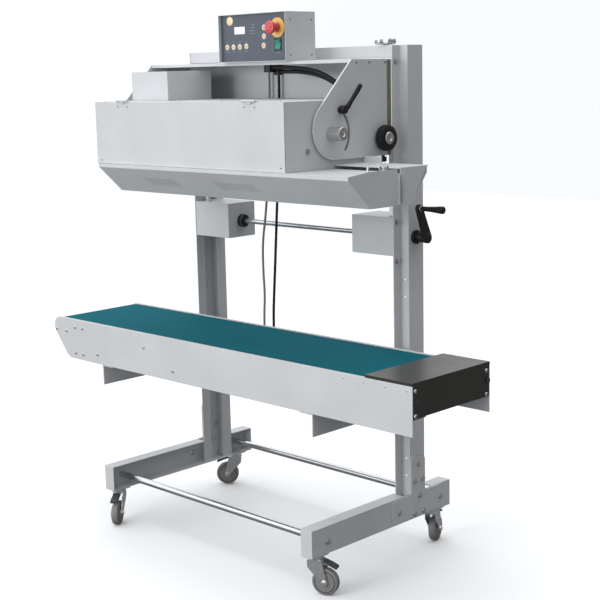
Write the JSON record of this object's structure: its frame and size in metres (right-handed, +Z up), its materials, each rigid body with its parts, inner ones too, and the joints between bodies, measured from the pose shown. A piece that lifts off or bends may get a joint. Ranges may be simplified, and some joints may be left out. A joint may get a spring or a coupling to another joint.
{
  "type": "continuous band sealer",
  "caption": "Floor-standing continuous band sealer: castored stand, teal belt conveyor, and a tilting sealing head with a control box on a crank-raised carriage.",
  "frame": {"origin": "on the floor under the middle of the machine's overall box", "axes": "+Z up, +X along the conveyor towards its drive end, -Y towards the operator"},
  "size_m": [1.48, 0.6262, 1.54],
  "materials": {
    "grey_paint": "light grey hammered powder paint",
    "chrome": "bright plated bar and knobs",
    "zinc": "zinc plated steel",
    "brushed_steel": "brushed stainless sheet",
    "castor_tread": "grey rubber tread",
    "belt_teal": "teal satin conveyor belt",
    "black_plastic": "black moulded plastic",
    "black_cable": "black cable jacket",
    "grey_cable": "grey cable jacket",
    "motor_grey": "dark grey painted motor",
    "slate_panel": "slate membrane sheet",
    "key_cream": "cream keys and a white display",
    "red_button": "red push button",
    "green_switch": "green rocker",
    "sealing_band": "brown coated glass band",
    "band_wheel": "rubber faced wheel"
  },
  "bodies": {
    "frame": {"foot_left": "grey_paint", "foot_right": "grey_paint", "column_left": "grey_paint", "column_right": "grey_paint", "gusset_plates": "grey_paint", "tie_rods": "chrome", "top_beam": "grey_paint", "frame_bolts": "zinc", "castor_plates": "zinc", "conveyor_brackets": "grey_paint", "conveyor_panel_front": "grey_paint", "conveyor_panel_back": "grey_paint", "slider_bed": "grey_paint", "conveyor_belt": "belt_teal", "conveyor_motor": "motor_grey", "drive_end_cover": "brushed_steel", "gear_boxes": "grey_paint", "junction_box": "black_plastic"},
    "carriage": {"arm_left": "grey_paint", "arm_right": "grey_paint", "carriage_bridge": "grey_paint", "lift_racks": "zinc", "control_box": "grey_paint", "control_panel": "slate_panel", "keypad_and_display": "key_cream", "sensor_cable": "grey_cable", "power_cable": "black_cable", "head_cables": "black_cable", "cable_glands": "black_plastic"},
    "sealing_head": {"head_housing": "grey_paint", "motor_cover": "grey_paint", "pivot_pins": "chrome", "tray_front": "grey_paint", "tray_rear": "grey_paint", "sealing_bands": "sealing_band", "sealing_unit": "motor_grey"},
    "crank": {"lift_shaft": "chrome", "crank_arm": "black_plastic"},
    "crank_grip": {"crank_grip": "black_plastic"},
    "top_knob": {"top_knob": "chrome"},
    "front_cover": {"front_cover": "grey_paint"},
    "emergency_stop": {"emergency_stop_button": "red_button"},
    "power_switch": {"power_switch": "green_switch"},
    "side_handwheel": {"side_handwheel": "black_plastic"},
    "clamp_lever": {"clamp_lever": "black_plastic"},
    "wing_bolt": {"wing_bolt": "chrome"},
    "nose_roller": {"nose_roller": "chrome"},
    "drive_roller": {"drive_roller": "chrome"},
    "band_wheel_infeed_front": {"band_wheel_infeed_front": "band_wheel"},
    "band_wheel_infeed_rear": {"band_wheel_infeed_rear": "band_wheel"},
    "band_wheel_outfeed_front": {"band_wheel_outfeed_front": "band_wheel"},
    "band_wheel_outfeed_rear": {"band_wheel_outfeed_rear": "band_wheel"},
    "castor_fork_front_left": {"castor_fork_front_left": "zinc"},
    "castor_wheel_front_left": {"castor_wheel_front_left": "castor_tread"},
    "castor_fork_front_right": {"castor_fork_front_right": "zinc"},
    "castor_wheel_front_right": {"castor_wheel_front_right": "castor_tread"},
    "castor_fork_rear_left": {"castor_fork_rear_left": "zinc"},
    "castor_wheel_rear_left": {"castor_wheel_rear_left": "castor_tread"},
    "castor_fork_rear_right": {"castor_fork_rear_right": "zinc"},
    "castor_wheel_rear_right": {"castor_wheel_rear_right": "castor_tread"}
  },
  "joints": [
    {"name": "head_lift", "type": "slide", "parent": "frame", "child": "carriage", "axis": [0, 0, 1], "range_m": [-0.16, 0], "deforming": ["sensor_cable", "power_cable"]},
    {"name": "crank_turn", "type": "hinge", "parent": "frame", "child": "crank", "pos_m": [0, 0.158, 0.921], "axis": [1, 0, 0], "range_deg": [-1, 460]},
    {"name": "grip_spin", "type": "hinge", "parent": "crank", "child": "crank_grip", "pos_m": [0.485, 0.124, 1.005], "axis": [1, 0, 0], "continuous": true},
    {"name": "top_knob_turn", "type": "hinge", "parent": "frame", "child": "top_knob", "pos_m": [0.329, 0.115, 1.443], "axis": [0, 0, 1], "continuous": true},
    {"name": "head_tilt", "type": "hinge", "parent": "carriage", "child": "sealing_head", "pos_m": [-0.05, -0.142, 1.218], "axis": [1, 0, 0], "range_deg": [-45, 0]},
    {"name": "cover_hinge", "type": "hinge", "parent": "sealing_head", "child": "front_cover", "pos_m": [-0.0365, -0.305, 1.307], "axis": [1, 0, 0], "range_deg": [-100, 0]},
    {"name": "clamp_turn", "type": "hinge", "parent": "sealing_head", "child": "clamp_lever", "pos_m": [0.37, -0.107, 1.27862], "axis": [1, 0, 0], "range_deg": [-45, 60]},
    {"name": "wing_bolt_turn", "type": "hinge", "parent": "sealing_head", "child": "wing_bolt", "pos_m": [0.558, -0.162, 1.13], "axis": [0, 0, 1], "continuous": true},
    {"name": "emergency_stop_press", "type": "slide", "parent": "carriage", "child": "emergency_stop", "axis": [0, 1, 0], "range_m": [0, 0.006], "stiffness_N_per_m": 800, "springref_m": -0.004},
    {"name": "switch_rock", "type": "hinge", "parent": "carriage", "child": "power_switch", "pos_m": [0.104, -0.061, 1.452], "axis": [1, 0, 0], "range_deg": [-12, 0]},
    {"name": "handwheel_turn", "type": "hinge", "parent": "carriage", "child": "side_handwheel", "pos_m": [0.377, 0.057, 1.198], "axis": [1, 0, 0], "continuous": true},
    {"name": "drive_roller_turn", "type": "hinge", "parent": "frame", "child": "drive_roller", "pos_m": [0.6, -0.115, 0.5945], "axis": [0, 1, 0], "continuous": true},
    {"name": "nose_roller_turn", "type": "hinge", "parent": "frame", "child": "nose_roller", "pos_m": [-0.709, -0.115, 0.5965], "axis": [0, 1, 0], "continuous": true},
    {"name": "band_wheel_infeed_front_turn", "type": "hinge", "parent": "sealing_head", "child": "band_wheel_infeed_front", "pos_m": [0.3, -0.1545, 1.1], "axis": [0, 0, 1], "continuous": true},
    {"name": "band_wheel_infeed_rear_turn", "type": "hinge", "parent": "sealing_head", "child": "band_wheel_infeed_rear", "pos_m": [0.3, -0.0935, 1.1], "axis": [0, 0, 1], "continuous": true},
    {"name": "band_wheel_outfeed_front_turn", "type": "hinge", "parent": "sealing_head", "child": "band_wheel_outfeed_front", "pos_m": [-0.36, -0.1545, 1.1], "axis": [0, 0, 1], "continuous": true},
    {"name": "band_wheel_outfeed_rear_turn", "type": "hinge", "parent": "sealing_head", "child": "band_wheel_outfeed_rear", "pos_m": [-0.36, -0.0935, 1.1], "axis": [0, 0, 1], "continuous": true},
    {"name": "castor_swivel_front_left", "type": "hinge", "parent": "frame", "child": "castor_fork_front_left", "pos_m": [-0.477, -0.245, 0.098], "axis": [0, 0, 1], "continuous": true},
    {"name": "castor_roll_front_left", "type": "hinge", "parent": "castor_fork_front_left", "child": "castor_wheel_front_left", "pos_m": [-0.46054, -0.26765, 0.0375], "axis": [0.809, 0.5878, 0], "continuous": true},
    {"name": "castor_swivel_front_right", "type": "hinge", "parent": "frame", "child": "castor_fork_front_right", "pos_m": [0.377, -0.245, 0.098], "axis": [0, 0, 1], "continuous": true},
    {"name": "castor_roll_front_right", "type": "hinge", "parent": "castor_fork_front_right", "child": "castor_wheel_front_right", "pos_m": [0.40296, -0.23451, 0.0375], "axis": [-0.3746, 0.9272, 0], "continuous": true},
    {"name": "castor_swivel_rear_left", "type": "hinge", "parent": "frame", "child": "castor_fork_rear_left", "pos_m": [-0.477, 0.2502, 0.098], "axis": [0, 0, 1], "continuous": true},
    {"name": "castor_roll_rear_left", "type": "hinge", "parent": "castor_fork_rear_left", "child": "castor_wheel_rear_left", "pos_m": [-0.4968, 0.2304, 0.0375], "axis": [0.7071, -0.7071, 0], "continuous": true},
    {"name": "castor_swivel_rear_right", "type": "hinge", "parent": "frame", "child": "castor_fork_rear_right", "pos_m": [0.377, 0.2502, 0.098], "axis": [0, 0, 1], "continuous": true},
    {"name": "castor_roll_rear_right", "type": "hinge", "parent": "castor_fork_rear_right", "child": "castor_wheel_rear_right", "pos_m": [0.36697, 0.27634, 0.0375], "axis": [-0.9336, -0.3584, 0], "continuous": true}
  ],
  "couplings": [
    {"joint": "crank_turn", "follows": "head_lift", "rad_per_m": -50},
    {"joint": "nose_roller_turn", "follows": "drive_roller_turn", "ratio": 1.0707},
    {"joint": "band_wheel_infeed_rear_turn", "follows": "band_wheel_infeed_front_turn", "ratio": -1},
    {"joint": "band_wheel_outfeed_front_turn", "follows": "band_wheel_infeed_front_turn", "ratio": 1},
    {"joint": "band_wheel_outfeed_rear_turn", "follows": "band_wheel_infeed_front_turn", "ratio": -1}
  ]
}
